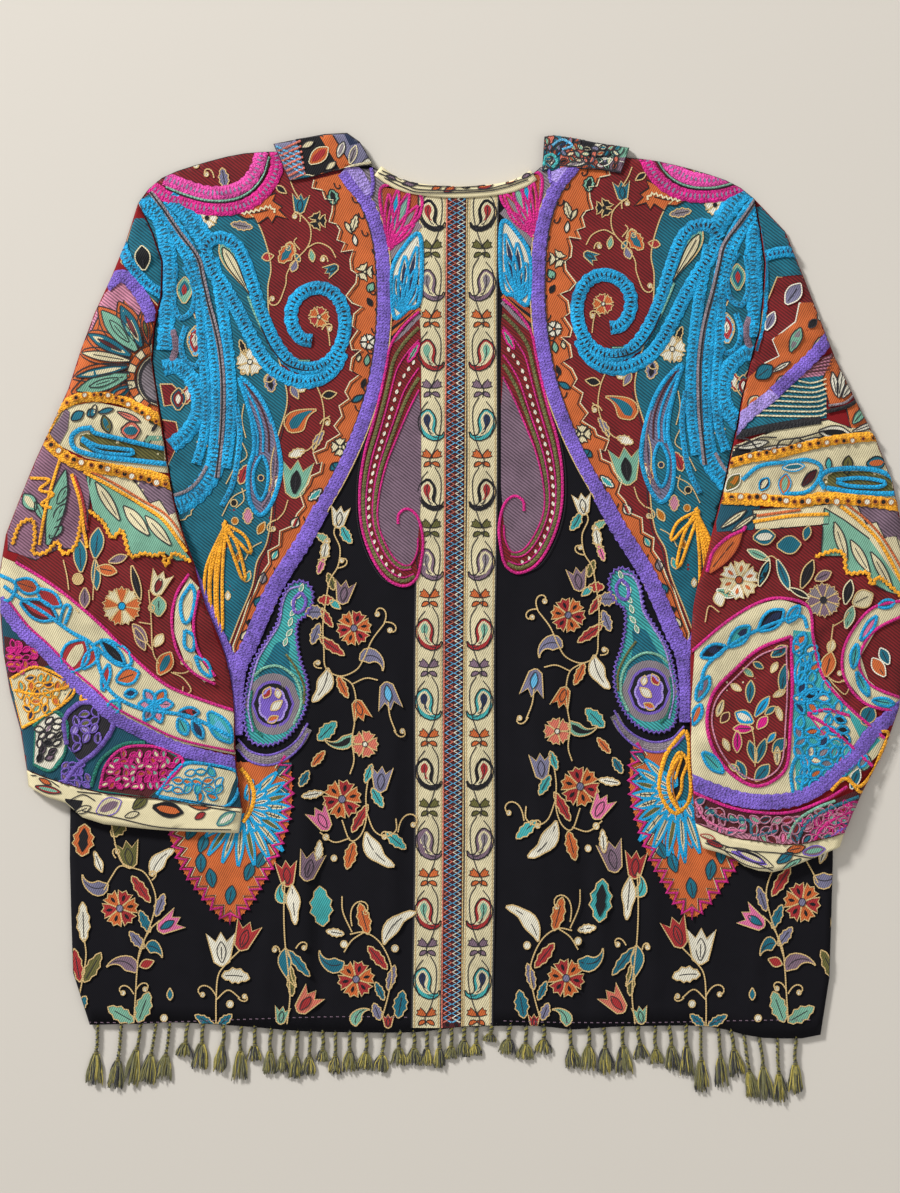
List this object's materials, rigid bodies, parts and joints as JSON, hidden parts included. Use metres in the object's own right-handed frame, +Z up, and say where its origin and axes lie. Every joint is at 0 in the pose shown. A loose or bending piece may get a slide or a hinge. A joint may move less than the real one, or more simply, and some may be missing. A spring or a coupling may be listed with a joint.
{
  "type": "embroidered jacket",
  "caption": "Open-front boxy jacket of paisley shawl cloth with chain-stitch embroidery and a tasselled hem, laid flat with its back up.",
  "frame": {"origin": "middle of the laid jacket's outline, on the surface that it lies on", "axes": "+X to the wearer's right, +Y from hem to neck, +Z up out of the back panel"},
  "size_m": [0.725, 0.776, 0.0117],
  "materials": {
    "woven_cloth": "fine wool shawl cloth with woven and stitched paisleys on black",
    "plain_cloth": "fine black wool twill",
    "embroidered_cloth": "wool shawl cloth covered with coloured paisleys and chain stitch",
    "cream_border": "cream woven border with small paisleys",
    "collar_cloth": "patterned woven border cloth",
    "fringe_yarn": "twisted olive and black silk yarn"
  },
  "bodies": {
    "root": {"back": "woven_cloth", "front_left": "plain_cloth", "front_right": "plain_cloth", "sleeve_left": "embroidered_cloth", "sleeve_right": "embroidered_cloth", "cuff_left": "cream_border", "cuff_right": "cream_border", "collar_left": "collar_cloth", "collar_right": "collar_cloth", "neck_band": "cream_border", "hem_fringe": "fringe_yarn"}
  },
  "joints": []
}
